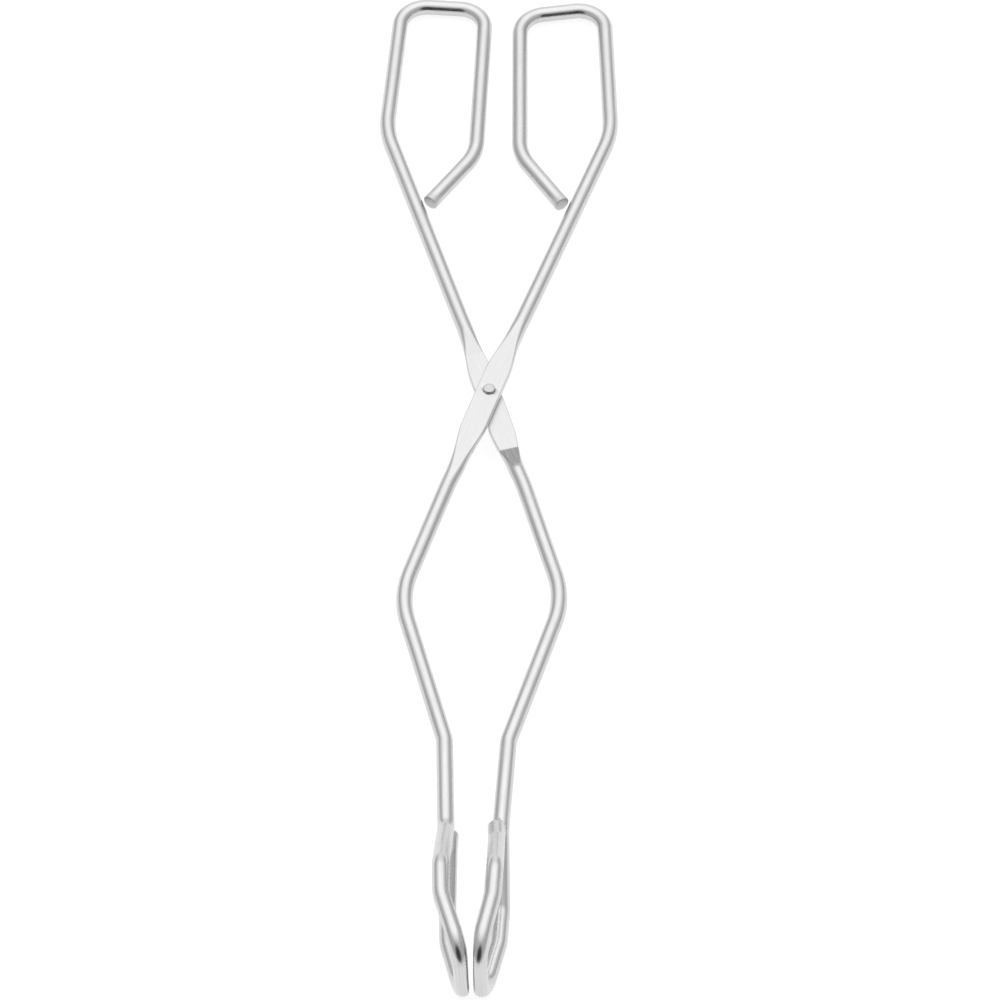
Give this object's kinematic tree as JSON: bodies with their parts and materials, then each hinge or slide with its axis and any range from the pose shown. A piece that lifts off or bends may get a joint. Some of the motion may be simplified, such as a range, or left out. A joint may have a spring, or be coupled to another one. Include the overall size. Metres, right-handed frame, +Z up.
{
  "type": "wire tongs",
  "caption": "Scissor tongs of bent round steel wire: finger loops at one end, pressed flat straps at the rivet, and upright U-shaped jaws with serrated tips.",
  "frame": {"origin": "centre of the tongs' footprint, on the table they lie on", "axes": "+X across the handles, +Y towards the handles, +Z up from the table"},
  "size_m": [0.0772, 0.385, 0.0307],
  "materials": {
    "arm_steel": "bright drawn wire, brushed on the pressed straps",
    "rivet_steel": "satin, turned and peened heads"
  },
  "bodies": {
    "front": {"front_arm": "arm_steel", "pivot_rivet": "rivet_steel"},
    "rear": {"rear_arm": "arm_steel"}
  },
  "joints": [
    {"name": "pivot", "type": "hinge", "parent": "front", "child": "rear", "pos_m": [0, 0.02428, 0.00839], "axis": [0, 0.0355, 0.9994], "range_deg": [-0.25, 60]}
  ]
}
